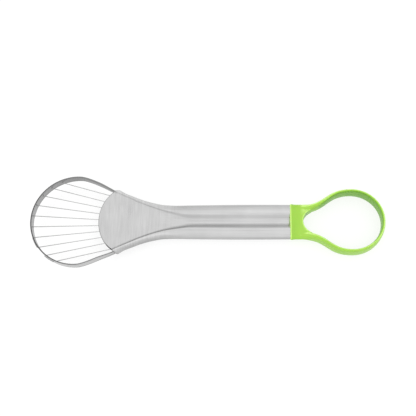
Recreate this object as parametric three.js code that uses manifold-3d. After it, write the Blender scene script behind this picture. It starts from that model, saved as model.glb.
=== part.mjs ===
// Avocado slicer: formed steel handle with a scoop, wire-strung round head and plastic end loop.
// Millimetres. X runs along the tool with the head at -X, Z is up and the handle lies on Z = 0.
import * as THREE from "three";
import { mergeVertices } from "three/addons/utils/BufferGeometryUtils.js";
import Module from "manifold-3d";

const wasm = await Module();
wasm.setup();

// Overall sizes
const LENGTH = 240;
const HEAD_WIDTH = 63;
const LOOP_WIDTH = 44.4;
const SHEET = 0.9;
const FIT_GAP = 0.2;

// Handle: the two shells meet on a side seam at this height
const SEAM_Z = 7;
const SEAM_GAP = 0.1;
const HANDLE_FRONT = -61.5;
const HANDLE_REAR = 56.2;
const GROOVE_OFFSET = 0.7;

// Stations at a distance behind the front: half width, groove half width, crest above the seam,
// groove depth and groove squareness
const STATIONS = [
  { behind: 0, half: 22.8, groove: 20.9, crest: 5.5, depth: 1, square: 40 },
  { behind: 3.5, half: 21.1, groove: 19.3, crest: 5.45, depth: 1, square: 40 },
  { behind: 11.5, half: 17.9, groove: 15.6, crest: 5.35, depth: 1, square: 36 },
  { behind: 17.5, half: 15.6, groove: 12.8, crest: 5.15, depth: 1, square: 28 },
  { behind: 25.5, half: 13.3, groove: 9.7, crest: 4.9, depth: 1.1, square: 16 },
  { behind: 33.5, half: 11.9, groove: 7.35, crest: 4.3, depth: 1.4, square: 6.5 },
  { behind: 41.5, half: 11.65, groove: 5.9, crest: 3.35, depth: 1.9, square: 3 },
  { behind: 51.5, half: 11.85, groove: 5, crest: 2.95, depth: 2.4, square: 1.5 },
  { behind: 86.5, half: 12.15, groove: 5.6, crest: 2.8, depth: 2.7, square: 1.25 },
  { behind: 117.7, half: 12.05, groove: 5.5, crest: 2.7, depth: 2.7, square: 1.25 },
];

// Underside: a flat between rounded sides, rising to a closed nose under the scoop
const UNDERSIDE_FLAT = 13;
const UNDERSIDE_ROUNDNESS = 1.75;
const UNDERSIDE_OFFSET = 0.3;
const NOSE_BEHIND = 23.5;
const NOSE_LENGTH = 22;
const NOSE_RISE = 4.6;
const NOSE_WALL_SETBACK = 2;
const NOSE_WALL_TRIM = 3;

// Scoop: the front edge of the plate is an arc in plan, whose ends lead the flanges
const SCOOP_BOW = 10.3;
const SCOOP_LEAD = 1.2;
const SCOOP_BOW_LENGTH = 36.5;
const SCOOP_ROUNDNESS = 0.88;
const SCOOP_STRAIGHT_LEAD = 8;
const SCOOP_CORNER = 1.8;
const SCOOP_CORNER_LENGTH = 8;

// Head: strip bent round the wires, its ends tucked inside the scoop flanges
const RIM_THICKNESS = 0.9;
const RIM_HEIGHT = 7;
const RIM_BELOW_SEAM = 1.5;
const RIM_LEG_ANGLE = 87;
const RIM_TAIL_LENGTH = 10.5;
const RIM_TAIL_GAP = 0.4;
const RIM_TAIL_DROP = 3.3;
const RIM_TAIL_DROP_LENGTH = 12;
const RIM_TAIL_SINK = 1.2;

// Wires: five hairpins, each out through one rim hole and back through the next
const WIRE = 0.5;
const WIRE_PAIRS = 5;
const WIRE_BEND = 0.3;
const WIRE_STRAIGHT = 0.15;
const WIRE_BEAD = 1;
const WIRE_BEAD_LENGTH = 0.9;
const WIRE_TAIL = 1.6;
const WIRE_ABOVE_RIM_EDGE = 4.1;
const WIRE_ABOVE_ANCHOR_EDGE = 1;
const WIRE_RIM_PITCH = 14.5;
const WIRE_ANCHOR_PITCH = 4.08;
const WIRE_HOLE = 0.8;
const WIRE_HOLE_DEPTH = 4.4;
const WIRE_OFFSET = 0.1;

// Anchor bar under the front edge of the scoop
const ANCHOR_RADIUS = 23.5;
const ANCHOR_BEHIND = 13.2;
const ANCHOR_THICKNESS = 1.2;
const ANCHOR_BELOW_SEAM = 1.8;
const ANCHOR_SIDE_GAP = 0.9;
const ANCHOR_TOP_GAP = 0.5;

// End loop: ferrule, plug inside the handle and teardrop strip
const FERRULE_LENGTH = 14.6;
const FERRULE_LIP = 0.4;
const FERRULE_PROUD = 0.5;
const FERRULE_WAIST_PROUD = 0.1;
const FERRULE_WAIST_LENGTH = 4;
const FERRULE_END_FLARE = 0.2;
const FERRULE_END_DROP = 0.3;
const FERRULE_RISE = 0.7;
const FERRULE_ROUNDNESS = 2.6;
const FERRULE_BELLY = 2;
const OPENING_BRIDGE = 8.9;
const OPENING_ROOT_RADIUS = 8.2;
const PLUG_LENGTH = 22;
const PLUG_GAP = 0.3;
const PLUG_LEAD = 2;
const PLUG_LEAD_TAPER = 0.6;
const STRIP_THICKNESS = 2.5;
const STRIP_SHOULDER_THICKNESS = 3.1;
const STRIP_ROOT_THICKNESS = 4.9;
const STRIP_ROOT_FADE = 19.5;
const STRIP_HEIGHT = 12;
const STRIP_ROOT_HEIGHT = 8.8;
const STRIP_BELOW_SEAM = 0.7;
const STRIP_ROOT_BELOW_SEAM = 1.6;
const STRIP_ROUNDNESS = 2.5;
const STRIP_ROOT_OVERLAP = 2;
const STRIP_ROOT_HALF = 9.3;
const STRIP_SHOULDER = 17.4;
const STRIP_LEG = 18.6;

// How finely round and curved shapes are divided
const GROOVE_STEPS = 11;
const BARREL_STEPS = 7;
const UNDERSIDE_STEPS = 7;
const SCOOP_RINGS = 24;
const HANDLE_RINGS = 6;
const NOSE_RINGS = 10;
const BACK_RINGS = 7;
const RIM_STEPS = 80;
const RIM_LEG_STEPS = 8;
const RIM_TAIL_STEPS = 5;
const ANCHOR_STEPS = 20;
const HOLE_SIDES = 10;
const WIRE_SIDES = 8;
const WIRE_BEND_STEPS = 5;
const WIRE_WRAP_STEPS = 4;
const WIRE_BEAD_STEPS = 4;
const FERRULE_SIDES = 40;
const OPENING_SIDES = 48;
const STRIP_STEPS = 84;
const STRIP_SIDES = 16;

// Looks of the bare model
const STEEL = { color: 0xcfcfd1, roughness: 0.35, metalness: 1 };
const RIM_STEEL = { color: 0xa9a9ac, roughness: 0.3, metalness: 1 };
const ANCHOR_STEEL = { color: 0x77777a, roughness: 0.5, metalness: 1 };
const WIRE_STEEL = { color: 0xc4c4c7, roughness: 0.2, metalness: 1 };
const GREEN_PLASTIC = { color: 0xa8de59, roughness: 0.4, metalness: 0 };

// Worked out from the sizes above
const [frontStation, rearStation] = [STATIONS[0], STATIONS[STATIONS.length - 1]];
const rimRadius = HEAD_WIDTH / 2;
const rimBottom = SEAM_Z - RIM_BELOW_SEAM;
const rimTailInside = SHEET + RIM_TAIL_GAP + RIM_THICKNESS;
const wireWrapRadius = rimRadius + WIRE_OFFSET + WIRE / 2;
const wireRimZ = rimBottom + WIRE_ABOVE_RIM_EDGE;
const rimCentreX = -LENGTH / 2 + wireWrapRadius + WIRE / 2;
const anchorCentreX = HANDLE_FRONT + ANCHOR_BEHIND;
const anchorHalfWidth = frontStation.half - rimTailInside - ANCHOR_SIDE_GAP;
const anchorBottom = SEAM_Z - ANCHOR_BELOW_SEAM;
const plateUnderside = SEAM_Z + frontStation.crest - frontStation.depth - SHEET;
const anchorTop = plateUnderside - ANCHOR_TOP_GAP;
const noseEnd = HANDLE_FRONT + NOSE_BEHIND;
const noseStart = noseEnd + NOSE_LENGTH;
const ferruleStart = HANDLE_REAR + FIT_GAP;
const ferruleHalf = rearStation.half + FERRULE_PROUD;
const ferruleWaist = rearStation.half + FERRULE_WAIST_PROUD;
const ferruleRise = rearStation.crest + FERRULE_RISE;
const openingRoot = ferruleStart + OPENING_BRIDGE;
const loopRadius = (LOOP_WIDTH - STRIP_THICKNESS) / 2;
const loopCentreX = LENGTH / 2 - LOOP_WIDTH / 2;

const smooth = (t) => THREE.MathUtils.smoothstep(t, 0, 1);
const radians = THREE.MathUtils.degToRad;
const power = (v, n) => Math.sign(v) * Math.abs(v) ** n;

// A station value at any x, by a cubic that never overshoots its stations
function stationValue(key, x) {
  const behind = x - HANDLE_FRONT;
  const last = STATIONS.length - 1;
  const next = STATIONS.findIndex((s) => s.behind > behind);
  const i = next < 0 ? last - 1 : Math.max(0, next - 1);
  const gap = (k) => STATIONS[k + 1].behind - STATIONS[k].behind;
  const rise = (k) => (STATIONS[k + 1][key] - STATIONS[k][key]) / gap(k);
  const slope = (k) => {
    if (k === 0) return rise(0);
    if (k === last) return rise(last - 1);
    const [before, after] = [rise(k - 1), rise(k)];
    return before * after <= 0 ? 0 : (2 * before * after) / (before + after);
  };
  const span = gap(i);
  const t = (behind - STATIONS[i].behind) / span;
  return (
    STATIONS[i][key] * (1 + 2 * t) * (1 - t) ** 2 +
    slope(i) * span * t * (1 - t) ** 2 +
    STATIONS[i + 1][key] * t * t * (3 - 2 * t) +
    slope(i + 1) * span * t * t * (t - 1)
  );
}

// Joins rings of equal length into one closed surface; the end faces use the given triangles
function loft(rings, capTriangles) {
  const count = rings[0].length;
  const positions = rings.flat().flatMap((p) => [p.x, p.y, p.z]);
  const index = [];
  for (let i = 0; i + 1 < rings.length; i++) {
    for (let j = 0; j < count; j++) {
      const a = i * count + j;
      const b = i * count + ((j + 1) % count);
      index.push(a, b, b + count, a, b + count, a + count);
    }
  }
  const end = (rings.length - 1) * count;
  for (const [a, b, c] of capTriangles) {
    index.push(a, c, b, end + a, end + b, end + c);
  }
  const geometry = new THREE.BufferGeometry();
  geometry.setAttribute("position", new THREE.Float32BufferAttribute(positions, 3));
  geometry.setIndex(index);
  return geometry;
}

// Triangles that close a ring of convex outline
function fan(count) {
  return Array.from({ length: count - 2 }, (_, i) => [0, i + 1, i + 2]);
}

// Triangles that close a ring made of an outer row and an inner row run backwards
function stripCap(row) {
  const triangles = [];
  for (let i = 0; i + 1 < row; i++) {
    const inner = 2 * row - 1 - i;
    triangles.push([i, i + 1, inner], [i + 1, inner - 1, inner]);
  }
  return triangles;
}

// Triangles that close a ring of any outline in the Y-Z plane
function outlineCap(ring) {
  const outline = ring.map((p) => new THREE.Vector2(p.y, p.z));
  const turned = THREE.ShapeUtils.isClockWise(outline);
  const triangles = THREE.ShapeUtils.triangulateShape(outline, []);
  return triangles.map(([a, b, c]) => (turned ? [a, c, b] : [a, b, c]));
}

// A closed geometry as a manifold solid, turned outwards if its faces point in
function solid(geometry) {
  const plain = geometry.clone();
  plain.deleteAttribute("normal");
  plain.deleteAttribute("uv");
  const merged = mergeVertices(plain, 1e-4);
  const build = (triVerts) =>
    new wasm.Manifold(
      new wasm.Mesh({
        numProp: 3,
        vertProperties: merged.attributes.position.array,
        triVerts: new Uint32Array(triVerts),
      }),
    );
  const made = build(merged.index.array);
  return made.volume() > 0 ? made : build([...merged.index.array].reverse());
}

// A named mesh from a manifold solid, with its own material
function piece(name, made, look) {
  const data = made.getMesh();
  const geometry = new THREE.BufferGeometry();
  geometry.setAttribute("position", new THREE.BufferAttribute(data.vertProperties, 3));
  geometry.setIndex(new THREE.BufferAttribute(data.triVerts, 1));
  geometry.computeVertexNormals();
  const mesh = new THREE.Mesh(geometry, new THREE.MeshStandardMaterial(look));
  mesh.name = name;
  return mesh;
}

// A round rod along points, with a radius at each point
function rod(points, radii, sides) {
  const rings = [];
  let across = new THREE.Vector3(0, 0, 1);
  points.forEach((p, i) => {
    const before = points[Math.max(0, i - 1)];
    const after = points[Math.min(points.length - 1, i + 1)];
    const along = after.clone().sub(before).normalize();
    across = across.clone().addScaledVector(along, -across.dot(along)).normalize();
    const side = along.clone().cross(across);
    const ring = [];
    for (let k = 0; k < sides; k++) {
      const a = (2 * Math.PI * k) / sides;
      ring.push(
        p
          .clone()
          .addScaledVector(across, radii[i] * Math.cos(a))
          .addScaledVector(side, radii[i] * Math.sin(a)),
      );
    }
    rings.push(ring);
  });
  return solid(loft(rings, fan(sides)));
}

// Upper profile of the handle at x, from one lower edge over the groove to the other, in Y and Z
function upperProfile(x, inset, edgeZ) {
  const half = stationValue("half", x) - inset;
  const groove = stationValue("groove", x) + GROOVE_OFFSET * inset;
  const crest = SEAM_Z + stationValue("crest", x) - inset;
  const depth = stationValue("depth", x);
  const square = stationValue("square", x);
  const right = [];
  for (let i = 0; i <= GROOVE_STEPS; i++) {
    const y = groove * (1 - (1 - i / GROOVE_STEPS) ** 2);
    right.push(new THREE.Vector2(y, crest - depth * (1 - smooth((y / groove) ** square))));
  }
  for (let i = 1; i <= BARREL_STEPS; i++) {
    const a = (Math.PI / 2) * (i / BARREL_STEPS);
    const y = groove + (half - groove) * Math.sin(a);
    right.push(new THREE.Vector2(y, edgeZ + (crest - edgeZ) * Math.cos(a)));
  }
  const left = right.slice(1).map((p) => new THREE.Vector2(-p.x, p.y));
  return [...left.reverse(), ...right];
}

// Lower profile of the handle at x, from one seam edge under the flat to the other, in Y and Z
function lowerProfile(x, inset, topZ) {
  const half = stationValue("half", x) - inset;
  const flat = UNDERSIDE_FLAT / 2 - UNDERSIDE_OFFSET * inset;
  const nose = Math.max(0, (noseStart - x) / NOSE_LENGTH);
  const bottom = NOSE_RISE * nose * nose + inset;
  const right = [];
  for (let i = 0; i <= UNDERSIDE_STEPS; i++) {
    const a = (Math.PI / 2) * (i / UNDERSIDE_STEPS);
    const out = power(Math.cos(a), 2 / UNDERSIDE_ROUNDNESS);
    const down = power(Math.sin(a), 2 / UNDERSIDE_ROUNDNESS);
    right.push(new THREE.Vector2(flat + (half - flat) * out, topZ - (topZ - bottom) * down));
  }
  const left = right.map((p) => new THREE.Vector2(-p.x, p.y));
  return [...right, ...left.reverse()];
}

// Places a profile at station x; near the front the plate is bowed forward like the scoop edge
// and the corners beside it are rounded back
function placeProfile(profile, x, bowed) {
  const plate = stationValue("groove", x);
  const side = stationValue("half", x) - plate;
  const behind = x - HANDLE_FRONT;
  const bow = bowed * smooth(1 - behind / SCOOP_BOW_LENGTH);
  const corner = bowed * SCOOP_CORNER * smooth(1 - behind / SCOOP_CORNER_LENGTH);
  const drop = Math.sqrt(1 - SCOOP_ROUNDNESS ** 2);
  return profile.map((p) => {
    const across = Math.min(1, Math.abs(p.x) / plate) * SCOOP_ROUNDNESS;
    const forward = (Math.sqrt(1 - across * across) - drop) / (1 - drop);
    const beside = Math.max(0, Math.abs(p.x) - plate) / side;
    const lead = SCOOP_BOW * forward + SCOOP_LEAD * (1 - beside);
    return new THREE.Vector3(x - bow * lead + corner * beside * beside, p.x, p.y);
  });
}

function stationsBetween(from, to, count) {
  return Array.from({ length: count + 1 }, (_, i) => from + ((to - from) * i) / count);
}

// Stamped upper shell: barrels and groove at the handle, scoop plate and flanges at the front
function upperShell() {
  const straightStart = noseStart + SCOOP_STRAIGHT_LEAD;
  const xs = [
    ...stationsBetween(HANDLE_FRONT, straightStart, SCOOP_RINGS),
    ...stationsBetween(straightStart, HANDLE_REAR, HANDLE_RINGS).slice(1),
  ];
  const edge = SEAM_Z + SEAM_GAP / 2;
  const rings = xs.map((x) => {
    const outer = upperProfile(x, 0, edge);
    const inner = upperProfile(x, SHEET, edge);
    return placeProfile([...outer, ...inner.reverse()], x, 1);
  });
  return solid(loft(rings, stripCap(rings[0].length / 2)));
}

// Turned-up front end of the lower shell, which closes the hollow handle
function noseWall() {
  const inset = SHEET + FIT_GAP;
  const rings = [noseEnd + SEAM_GAP / 2, noseEnd + SHEET].map((x) => {
    const upper = upperProfile(x + NOSE_WALL_SETBACK, inset, SEAM_Z - SEAM_GAP);
    const ceiling = upper[(upper.length - 1) / 2].y;
    const below = upper.map((p) => new THREE.Vector2(p.x, Math.min(p.y, ceiling)));
    const lower = lowerProfile(x, inset / 2, SEAM_Z - SEAM_GAP);
    return placeProfile([...below, ...lower.slice(NOSE_WALL_TRIM, -NOSE_WALL_TRIM)], x, 0);
  });
  return solid(loft(rings, outlineCap(rings[0])));
}

// Stamped lower shell: rounded back of the handle with a flat underside and a rising nose
function lowerShell() {
  const xs = [
    ...stationsBetween(noseEnd, noseStart, NOSE_RINGS),
    ...stationsBetween(noseStart, HANDLE_REAR, BACK_RINGS).slice(1),
  ];
  const top = SEAM_Z - SEAM_GAP / 2;
  const rings = xs.map((x) => {
    const outer = lowerProfile(x, 0, top);
    const inner = lowerProfile(x, SHEET, top);
    return placeProfile([...outer, ...inner.reverse()], x, 0);
  });
  return solid(loft(rings, stripCap(rings[0].length / 2))).add(noseWall());
}

// Plan line of the rim's outer face, from one tucked end round the tip to the other. Each leg
// bends from the end of the round to the line of the tucked end
function rimLine() {
  const tail = (x) => new THREE.Vector2(x, stationValue("half", x) - SHEET - RIM_TAIL_GAP);
  const leg = radians(RIM_LEG_ANGLE);
  const round = new THREE.EllipseCurve(rimCentreX, 0, rimRadius, rimRadius, leg, 2 * Math.PI - leg);
  const start = round.getPoint(0);
  const front = tail(HANDLE_FRONT);
  const slope = tail(HANDLE_FRONT + 1).y - front.y;
  const fall = 1 / Math.tan(leg);
  const cornerX = (start.y + fall * start.x - front.y + slope * front.x) / (slope + fall);
  const corner = new THREE.Vector2(cornerX, front.y + slope * (cornerX - front.x));
  const bend = new THREE.QuadraticBezierCurve(front, corner, start).getPoints(RIM_LEG_STEPS);
  const tucked = stationsBetween(HANDLE_FRONT + RIM_TAIL_LENGTH, HANDLE_FRONT, RIM_TAIL_STEPS);
  const far = [...tucked.slice(0, -1).map(tail), ...bend.slice(0, -1)];
  const near = far.map((p) => new THREE.Vector2(p.x, -p.y)).reverse();
  return [...far, ...round.getPoints(RIM_STEPS), ...near];
}

// Hole cutter along a wire where it passes a wall near a point
function wireHole(point, along) {
  const reach = along.clone().multiplyScalar(WIRE_HOLE_DEPTH / 2);
  const ends = [point.clone().sub(reach), point.clone().add(reach)];
  return rod(ends, [WIRE_HOLE / 2, WIRE_HOLE / 2], HOLE_SIDES);
}

// The two end points of a wire span: number 1 lies nearest the axis, side is +1 or -1
function wireSpan(number, side) {
  const count = side * (number - 0.5);
  const onArc = (centreX, radius, y, z) => {
    return new THREE.Vector3(centreX - Math.sqrt(radius * radius - y * y), y, z);
  };
  const wall = rimRadius - RIM_THICKNESS / 2;
  const rimY = wall * Math.sin(radians(count * WIRE_RIM_PITCH));
  const anchorZ = anchorBottom + WIRE_ABOVE_ANCHOR_EDGE;
  return {
    rim: onArc(rimCentreX, wall, rimY, wireRimZ),
    anchor: onArc(anchorCentreX, ANCHOR_RADIUS, count * WIRE_ANCHOR_PITCH, anchorZ),
  };
}

// The ten spans across the head, from the +Y side to the -Y side
function allSpans() {
  const spans = [];
  for (let n = WIRE_PAIRS; n >= 1; n--) spans.push(wireSpan(n, 1));
  for (let n = 1; n <= WIRE_PAIRS; n++) spans.push(wireSpan(n, -1));
  return spans;
}

// Bent strip of the head with a hole for each wire span
function rimBand() {
  const line = rimLine();
  const centres = line.map((p, i) => {
    const before = line[Math.max(0, i - 1)];
    const after = line[Math.min(line.length - 1, i + 1)];
    const along = after.clone().sub(before).normalize();
    return { p, inward: new THREE.Vector2(-along.y, along.x) };
  });
  const rings = centres.map(({ p, inward }) => {
    const q = p.clone().addScaledVector(inward, RIM_THICKNESS);
    const tuck = smooth(1 + (p.x - HANDLE_FRONT) / RIM_TAIL_DROP_LENGTH);
    const bottom = rimBottom - RIM_TAIL_SINK * tuck;
    const top = rimBottom + RIM_HEIGHT - RIM_TAIL_DROP * tuck;
    return [
      new THREE.Vector3(p.x, p.y, bottom),
      new THREE.Vector3(q.x, q.y, bottom),
      new THREE.Vector3(q.x, q.y, top),
      new THREE.Vector3(p.x, p.y, top),
    ];
  });
  return allSpans().reduce((band, { rim, anchor }) => {
    const along = rim.clone().sub(anchor).normalize();
    return band.subtract(wireHole(rim, along));
  }, solid(loft(rings, fan(4))));
}

// Curved bar across the mouth of the scoop, drilled for the wire ends
function wireAnchor() {
  const outer = ANCHOR_RADIUS + ANCHOR_THICKNESS / 2;
  const inner = ANCHOR_RADIUS - ANCHOR_THICKNESS / 2;
  const spread = Math.asin(anchorHalfWidth / outer);
  const shape = new THREE.Shape();
  shape.absarc(anchorCentreX, 0, outer, Math.PI - spread, Math.PI + spread, false);
  shape.absarc(anchorCentreX, 0, inner, Math.PI + spread, Math.PI - spread, true);
  const bar = new THREE.ExtrudeGeometry(shape, {
    depth: anchorTop - anchorBottom,
    bevelEnabled: false,
    curveSegments: ANCHOR_STEPS,
  }).translate(0, 0, anchorBottom);
  return allSpans().reduce((made, { rim, anchor }) => {
    const along = rim.clone().sub(anchor).normalize();
    return made.subtract(wireHole(anchor, along));
  }, solid(bar));
}

// Points of a route with each inner corner rounded
function roundedRoute(points, radius) {
  const out = [points[0]];
  for (let i = 1; i + 1 < points.length; i++) {
    const p = points[i];
    const back = points[i - 1].clone().sub(p).normalize();
    const on = points[i + 1].clone().sub(p).normalize();
    const opening = Math.acos(THREE.MathUtils.clamp(back.dot(on), -1, 1));
    const reach = radius / Math.tan(opening / 2);
    const middle = back.clone().add(on).normalize();
    const centre = p.clone().addScaledVector(middle, radius / Math.sin(opening / 2));
    const start = p.clone().addScaledVector(back, reach).sub(centre);
    const stop = p.clone().addScaledVector(on, reach).sub(centre);
    const turn = start.angleTo(stop);
    if (turn < WIRE_STRAIGHT) {
      out.push(p);
      continue;
    }
    const axis = start.clone().cross(stop).normalize();
    for (let k = 0; k <= WIRE_BEND_STEPS; k++) {
      out.push(start.clone().applyAxisAngle(axis, (turn * k) / WIRE_BEND_STEPS).add(centre));
    }
  }
  out.push(points[points.length - 1]);
  return out;
}

// Where a span's line reaches the wrap radius outside the rim
function wrapPoint({ rim, anchor }) {
  const along = rim.clone().sub(anchor).normalize();
  const from = new THREE.Vector2(rim.x - rimCentreX, rim.y);
  const way = new THREE.Vector2(along.x, along.y);
  const b = from.dot(way) / way.lengthSq();
  const c = (from.lengthSq() - wireWrapRadius ** 2) / way.lengthSq();
  return rim.clone().addScaledVector(along, Math.sqrt(b * b - c) - b);
}

// One hairpin wire: bead, span, wrap outside the rim, second span, bead
function hairpin(first, second) {
  const [out, back] = [wrapPoint(first), wrapPoint(second)];
  const angle = (p) => Math.atan2(p.y, -(p.x - rimCentreX));
  const wrap = [];
  for (let k = 1; k < WIRE_WRAP_STEPS; k++) {
    const a = THREE.MathUtils.lerp(angle(out), angle(back), k / WIRE_WRAP_STEPS);
    const x = rimCentreX - wireWrapRadius * Math.cos(a);
    wrap.push(new THREE.Vector3(x, wireWrapRadius * Math.sin(a), wireRimZ));
  }
  const tail = ({ rim, anchor }, reach) => {
    const along = anchor.clone().sub(rim).normalize();
    return anchor.clone().addScaledVector(along, ANCHOR_THICKNESS / 2 + reach);
  };
  const beadStart = WIRE_TAIL - WIRE_BEAD_LENGTH;
  const corners = [tail(first, beadStart), out, ...wrap, back, tail(second, beadStart)];
  const route = roundedRoute(corners, WIRE_BEND);
  const reaches = [];
  const swell = [];
  for (let k = 0; k < WIRE_BEAD_STEPS; k++) {
    const across = (2 * (k + 0.5)) / WIRE_BEAD_STEPS - 1;
    reaches.push(WIRE_TAIL - (WIRE_BEAD_LENGTH * k) / WIRE_BEAD_STEPS);
    swell.push((WIRE_BEAD / 2) * Math.sqrt(1 - across * across));
  }
  const points = [
    ...reaches.map((reach) => tail(first, reach)),
    ...route,
    ...reaches.map((reach) => tail(second, reach)).reverse(),
  ];
  const radii = [...swell, ...route.map(() => WIRE / 2), ...swell.slice().reverse()];
  return rod(points, radii, WIRE_SIDES);
}

// A ring of the loop strip: a superellipse across the strip and upright
function stripRing(centre, across, halfThick, halfHeight) {
  return Array.from({ length: STRIP_SIDES }, (_, k) => {
    const a = (2 * Math.PI * k) / STRIP_SIDES;
    const out = halfThick * power(Math.cos(a), 2 / STRIP_ROUNDNESS);
    const rise = halfHeight * power(Math.sin(a), 2 / STRIP_ROUNDNESS);
    return new THREE.Vector3(centre.x + across.x * out, centre.y + across.y * out, centre.z + rise);
  });
}

// A ring of the ferrule: widest at the seam, a low crown above it and a deeper belly below
function ferruleRing(x, half, rise) {
  return Array.from({ length: FERRULE_SIDES }, (_, k) => {
    const a = (2 * Math.PI * k) / FERRULE_SIDES;
    const above = Math.sin(a) >= 0;
    const n = 2 / (above ? FERRULE_ROUNDNESS : FERRULE_BELLY);
    const reach = above ? rise : SEAM_Z;
    return new THREE.Vector3(
      x,
      half * power(Math.cos(a), n),
      SEAM_Z + reach * power(Math.sin(a), n),
    );
  });
}

// Ferrule that caps the handle end, hollowed where the loop opening starts
function ferrule() {
  const end = ferruleStart + FERRULE_LENGTH;
  const shape = [
    [ferruleStart, ferruleHalf - FERRULE_LIP, ferruleRise - FERRULE_LIP],
    [ferruleStart + FERRULE_LIP, ferruleHalf, ferruleRise],
    [ferruleStart + FERRULE_WAIST_LENGTH, ferruleWaist, ferruleRise],
    [openingRoot, ferruleWaist, ferruleRise],
    [end, ferruleWaist + FERRULE_END_FLARE, ferruleRise - FERRULE_END_DROP],
  ];
  const rings = shape.map(([x, half, top]) => ferruleRing(x, half, top));
  const [radius, tall] = [OPENING_ROOT_RADIUS, 4 * SEAM_Z];
  const hollow = new THREE.CylinderGeometry(radius, radius, tall, OPENING_SIDES)
    .rotateX(Math.PI / 2)
    .translate(openingRoot + radius, 0, SEAM_Z);
  return solid(loft(rings, fan(FERRULE_SIDES))).subtract(solid(hollow));
}

// Plug that fills the end of the hollow handle
function plug() {
  const inset = SHEET + PLUG_GAP;
  const tip = ferruleStart - PLUG_LENGTH;
  const xs = [tip, tip + PLUG_LEAD, ferruleStart + FERRULE_LIP];
  const rings = xs.map((x, i) => {
    const taper = i === 0 ? PLUG_LEAD_TAPER : 0;
    const upper = upperProfile(x, inset + taper, SEAM_Z + SEAM_GAP);
    const lower = lowerProfile(x, inset + taper, SEAM_Z - SEAM_GAP);
    return placeProfile([...upper, ...lower], x, 0);
  });
  return solid(loft(rings, outlineCap(rings[0])));
}

// Teardrop strip: a leg from the ferrule, round the loop and back
function loopStrip() {
  const rootX = openingRoot - STRIP_ROOT_OVERLAP;
  const legX = rootX + STRIP_LEG;
  const shoulderX = loopCentreX - STRIP_SHOULDER;
  const half = STRIP_ROOT_HALF;
  const path = new THREE.Path();
  path.moveTo(rootX, half);
  path.bezierCurveTo(legX, half, shoulderX, loopRadius, loopCentreX, loopRadius);
  path.absarc(loopCentreX, 0, loopRadius, Math.PI / 2, -Math.PI / 2, true);
  path.bezierCurveTo(shoulderX, -loopRadius, legX, -half, rootX, -half);
  const points = path.getSpacedPoints(STRIP_STEPS);
  const { lerp } = THREE.MathUtils;
  const rings = points.map((p, i) => {
    const before = points[Math.max(0, i - 1)];
    const after = points[Math.min(points.length - 1, i + 1)];
    const along = after.clone().sub(before).normalize();
    const across = new THREE.Vector2(-along.y, along.x);
    const fade = smooth((p.x - rootX) / STRIP_ROOT_FADE);
    const bend = smooth((p.x - shoulderX) / STRIP_SHOULDER);
    const t = smooth((p.x - rootX) / (shoulderX - rootX));
    const legThick = lerp(STRIP_ROOT_THICKNESS, STRIP_SHOULDER_THICKNESS, fade);
    const thick = lerp(legThick, STRIP_THICKNESS, bend);
    const height = lerp(STRIP_ROOT_HEIGHT, STRIP_HEIGHT, t);
    const drop = lerp(STRIP_ROOT_BELOW_SEAM, STRIP_BELOW_SEAM, t);
    const centre = new THREE.Vector3(p.x, p.y, SEAM_Z - drop);
    return stripRing(centre, across, thick / 2, height / 2);
  });
  return solid(loft(rings, fan(STRIP_SIDES)));
}

function endLoop() {
  return ferrule().add(plug()).add(loopStrip());
}

const slicer = new THREE.Group();
slicer.name = "avocado_slicer";
slicer.add(piece("handle_upper_shell", upperShell(), STEEL));
slicer.add(piece("handle_lower_shell", lowerShell(), STEEL));
slicer.add(piece("rim_band", rimBand(), RIM_STEEL));
slicer.add(piece("wire_anchor", wireAnchor(), ANCHOR_STEEL));
const spans = allSpans();
for (let i = 0; i < WIRE_PAIRS; i++) {
  const wire = hairpin(spans[2 * i], spans[2 * i + 1]);
  slicer.add(piece(`slicing_wire_${i + 1}`, wire, WIRE_STEEL));
}
slicer.add(piece("end_loop", endLoop(), GREEN_PLASTIC));

export default slicer;
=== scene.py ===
# Avocado slicer: smooth skins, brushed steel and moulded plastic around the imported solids.
# Sizes are millimetres, scaled to metres when a mesh is made. X runs along the tool, Z is up.
import math

import bmesh
import bpy
from mathutils import Matrix, Vector


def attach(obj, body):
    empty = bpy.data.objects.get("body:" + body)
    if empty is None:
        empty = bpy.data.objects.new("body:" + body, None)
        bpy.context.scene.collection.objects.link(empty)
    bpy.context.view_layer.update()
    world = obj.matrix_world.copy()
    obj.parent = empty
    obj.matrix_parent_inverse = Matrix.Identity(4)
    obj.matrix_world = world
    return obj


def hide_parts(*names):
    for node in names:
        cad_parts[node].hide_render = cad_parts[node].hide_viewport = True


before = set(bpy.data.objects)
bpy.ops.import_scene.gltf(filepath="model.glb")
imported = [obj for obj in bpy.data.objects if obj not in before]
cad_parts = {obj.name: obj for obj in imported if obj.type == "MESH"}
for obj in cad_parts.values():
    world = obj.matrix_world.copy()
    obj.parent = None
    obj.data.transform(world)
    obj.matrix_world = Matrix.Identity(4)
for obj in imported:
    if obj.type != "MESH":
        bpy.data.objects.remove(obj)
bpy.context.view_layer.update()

MM = 0.001

# Sizes of the handle, the same as in the part
LENGTH = 240
SHEET = 0.9
SEAM_Z = 7
SEAM_GAP = 0.1
HANDLE_FRONT = -61.5
GROOVE_OFFSET = 0.7
STATION_KEYS = ("behind", "half", "groove", "crest", "depth", "square")
STATIONS = [
    dict(zip(STATION_KEYS, row))
    for row in (
        (0, 22.8, 20.9, 5.5, 1, 40),
        (3.5, 21.1, 19.3, 5.45, 1, 40),
        (11.5, 17.9, 15.6, 5.35, 1, 36),
        (17.5, 15.6, 12.8, 5.15, 1, 28),
        (25.5, 13.3, 9.7, 4.9, 1.1, 16),
        (33.5, 11.9, 7.35, 4.3, 1.4, 6.5),
        (41.5, 11.65, 5.9, 3.35, 1.9, 3),
        (51.5, 11.85, 5, 2.95, 2.4, 1.5),
        (86.5, 12.15, 5.6, 2.8, 2.7, 1.25),
        (117.7, 12.05, 5.5, 2.7, 2.7, 1.25),
    )
]
SHEET_BEVEL = 0.12
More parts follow.
